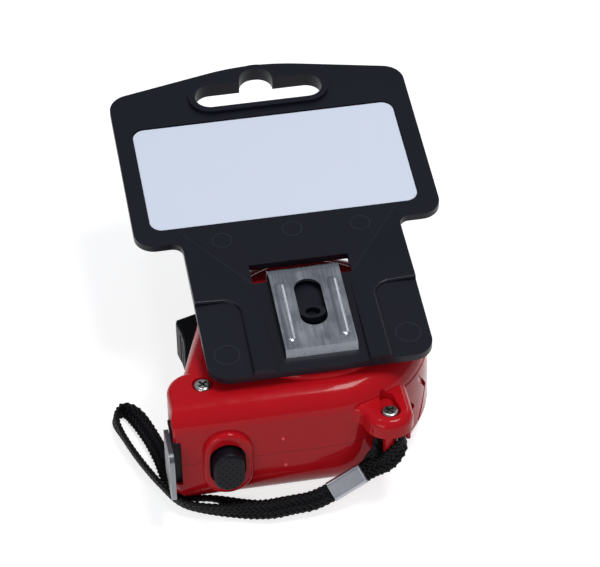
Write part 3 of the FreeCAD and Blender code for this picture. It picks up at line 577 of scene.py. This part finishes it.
def braided_polyester():
    """Soft black with hardly any shine. The fibres are drawn coarser than real ones to show."""
    m = start("braided_black_polyester")
    place = add(m, "ShaderNodeTexCoord").outputs["Object"]
    fibre = add(m, "ShaderNodeTexNoise", {"Vector": place, "Scale": every(0.2857), "Detail": 3.0})
    tone = add(m, "ShaderNodeMix", {
        0: fibre.outputs["Fac"], 6: linear("#030304"), 7: linear("#0d0d11")}, data_type="RGBA")
    bump = add(m, "ShaderNodeBump", {"Height": fibre.outputs["Fac"], "Strength": 0.5,
                                     "Distance": 0.08 * MM})
    return close(m, add(m, "ShaderNodeBsdfPrincipled", {
        "Base Color": tone.outputs[2], "Roughness": 0.5, "Sheen Weight": 0.01,
        "Sheen Roughness": 0.4, "Specular IOR Level": 0.16, "Normal": bump.outputs[0]}))


polyester = braided_polyester()


def braid(name, route):
    """A flat braid along a route of (x, y, z, lean) in millimetres and degrees. Each yarn winds
    round the flat tube and goes over one crossing yarn and under the next."""
    line = spline_line([Vector(p[:3]) * MM for p in route])
    leans = spline_line([Vector((math.radians(p[3]), i, 0)) for i, p in enumerate(route)])
    at = stations(line, leans, BRAID_STEP * MM)
    curve = bpy.data.curves.new(name, "CURVE")
    curve.dimensions = "3D"
    curve.bevel_depth = YARN_RADIUS * MM
    curve.bevel_resolution = 2
    curve.use_fill_caps = True
    for way in (1, -1):
        for i in range(YARNS):
            spline = curve.splines.new("POLY")
            spline.points.add(len(at) - 1)
            for end, (s, centre, across, out) in zip(spline.points, at):
                turn = i / YARNS + way * s / (LAY * MM)
                u, v, nu, nv = flat_oval(turn)
                lift = way * WEAVE * math.cos(math.pi * YARNS * turn)
                p = centre + (across * (u + nu * lift) + out * (v + nv * lift)) * MM
                end.co = (p.x, p.y, p.z, 1.0)
    return new_piece(name, mesh_of(curve), polyester), line


def strand_end(end, layer, out, lean):
    """A point on a strand where it leaves the crimp, out millimetres beyond its mouth."""
    p = CRIMP + ALONG * end * (CRIMP_HALF + out) + FACE * layer * STACK
    return (p.x, p.y, p.z, lean)


loop_route = [
    strand_end(-1, 1, -0.6, 130), strand_end(-1, 1, 4.0, 130),
    (-9.8, -33.5, 3.8, 126), (-14.5, -34.0, 3.4, 118), (-19.6, -33.2, 3.1, 104),
    (-25.2, -31.8, 2.9, 84), (-31.2, -29.6, 2.6, 68), (-36.4, -26.4, 2.5, 65),
    (-39.6, -19.8, 2.5, 68), (-42.4, -13.2, 2.5, 72), (-44.9, -6.0, 2.5, 74),
    (-46.6, 0.2, 2.5, 76), (-47.7, 5.6, 2.6, 106), (-45.3, 8.5, 2.6, 96),
    (-42.7, 6.4, 2.2, 44), (-40.6, 1.4, 1.5, 6), (-38.9, -4.8, 1.3, 0),
    (-37.8, -10.6, 1.3, 0), (-37.2, -17.4, 1.3, -4), (-35.8, -22.8, 1.7, -20),
    (-32.4, -25.5, 2.2, -38), (-28.8, -25.9, 2.15, -39), (-25.2, -27.3, 1.9, -30),
    (-21.3, -29.2, 1.55, -12), (-16.8, -31.0, 1.4, 8), (-10.8, -31.9, 2.3, 38),
    strand_end(-1, -1, 4.0, 50), strand_end(-1, -1, -0.6, 50)]
strap_loop, loop_line = braid("wrist_loop", loop_route)

tether_route = [
    strand_end(1, 1, -0.6, 46), strand_end(1, 1, 2.4, 48),
    (12.6, -32.4, 12.2, 62), (16.6, -30.8, 16.2, 80), (16.6, -27.2, 18.0, 92),
    (13.4, -26.2, 18.4, 92), (11.1, -28.4, 16.6, 100), (10.3, -29.9, 12.6, 116),
    strand_end(1, -1, 2.0, 130), strand_end(1, -1, -0.6, 134)]
strap_tether, tether_line = braid("post_loop", tether_route)

for piece, node in ((strap_loop, "strap_loop"), (strap_tether, "strap_tether")):
    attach(piece, "case")
    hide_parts(node)


# ---------------------------------------------------------------- strap crimp
# A short sleeve of soft aluminium, pressed flat round the ends of both strap pieces.
# Its folded edges stand up as two lips, one along it and one across its mouth.

SIDE = FACE.cross(ALONG)
CRIMP_LIPS = [  # where each lip's middle lies and its size: along, side, face
    ((0.0, 2.05, 1.82), (8.7, 0.42, 0.36)), ((4.12, -0.12, 1.82), (0.4, 4.4, 0.3))]
CRIMP_LIP_ROUND = 0.12

aluminium = plain_finish("pressed_aluminium", "#b2b4ba", 1.0, 0.41, 1.11)
coat(nodes["strap_crimp"], aluminium)

turn = Matrix((ALONG, SIDE, FACE)).transposed()
shape = bmesh.new()
for middle, size in CRIMP_LIPS:
    lip = bmesh.ops.create_cube(shape, size=1.0)["verts"]
    bmesh.ops.scale(shape, vec=Vector(size) * MM, verts=lip)
    edges = list({edge for corner in lip for edge in corner.link_edges})
    lip = bmesh.ops.bevel(shape, geom=edges, offset=CRIMP_LIP_ROUND * MM, segments=3, profile=0.5,
                          affect="EDGES", material=-1)["verts"]
    bmesh.ops.transform(shape, matrix=turn.to_4x4(), verts=lip)
    bmesh.ops.translate(shape, vec=(CRIMP + turn @ Vector(middle)) * MM, verts=lip)
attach(new_piece("crimp_lips", as_mesh("crimp_lips", shape), aluminium), "case")


# ---------------------------------------------------------------- studio
# A plain pale floor, soft lamps overhead and to the sides, and the camera above the
# clip side.

FLOOR_LIFT = 0.75
FLOOR_REACH = 2000.0
LAMP_AIM = Vector((0.0, 0.0, 20.0))
ROOM_LIGHT = 0.27


def floor_finish():
    """Matt pale grey that the camera, and what metal mirrors, sees lifted towards white."""
    m = start("pale_floor")
    ray = add(m, "ShaderNodeLightPath")
    seen = any_of(m, [ray.outputs[kind] for kind in (
        "Is Camera Ray", "Is Glossy Ray", "Is Transmission Ray")])
    lift = add(m, "ShaderNodeMath", {0: seen, 1: FLOOR_LIFT}, operation="MULTIPLY")
    matt = add(m, "ShaderNodeBsdfDiffuse", {"Color": linear("#bdbdbd")})
    glow = add(m, "ShaderNodeEmission", {"Strength": lift.outputs[0]})
    return close(m, add(m, "ShaderNodeAddShader", {0: matt.outputs[0], 1: glow.outputs[0]}))


shape = bmesh.new()
bmesh.ops.create_grid(shape, x_segments=1, y_segments=1, size=FLOOR_REACH * MM)
new_piece("floor", as_mesh("floor", shape), floor_finish())


def softbox(name, place, size, watts):
    """A rectangular lamp, turned towards the middle of the object."""
    lamp = bpy.data.lights.new(name, "AREA")
    lamp.shape = "RECTANGLE"
    lamp.size, lamp.size_y = Vector(size) * MM
    lamp.energy = watts
    obj = bpy.data.objects.new(name, lamp)
    bpy.context.scene.collection.objects.link(obj)
    obj.location = Vector(place) * MM
    obj.rotation_euler = (LAMP_AIM - Vector(place)).to_track_quat("-Z", "Y").to_euler()


softbox("key", (220.0, -50.0, 800.0), (260.0, 220.0), 3.1)
softbox("fill", (-500.0, -600.0, 350.0), (500.0, 300.0), 2.0)
softbox("spark", (-120.0, 220.0, 800.0), (70.0, 45.0), 0.42)
softbox("edge", (520.0, 550.0, 420.0), (160.0, 400.0), 0.4)

world = bpy.data.worlds.new("room")
world.use_nodes = True
background = world.node_tree.nodes["Background"]
background.inputs["Color"].default_value = linear("#eef3ff")
background.inputs["Strength"].default_value = ROOM_LIGHT
bpy.context.scene.world = world
bpy.context.scene.view_settings.view_transform = "Standard"

EYE = Vector((-85.87, -535.19, 495.71))
AIM = Vector((1.96, 26.34, 20.0))
LENS = 181.0
SENSOR = 36.0
ROLL = math.radians(-1.41)
NEAREST = 10.0

camera_data = bpy.data.cameras.new("camera")
camera_data.lens = LENS
camera_data.sensor_width = SENSOR
camera_data.clip_start = NEAREST * MM
camera = bpy.data.objects.new("camera", camera_data)
bpy.context.scene.collection.objects.link(camera)
turned = (AIM - EYE).to_track_quat("-Z", "Y").to_matrix() @ Matrix.Rotation(ROLL, 3, "Z")
camera.location = EYE * MM
camera.rotation_euler = turned.to_euler()
bpy.context.scene.camera = camera
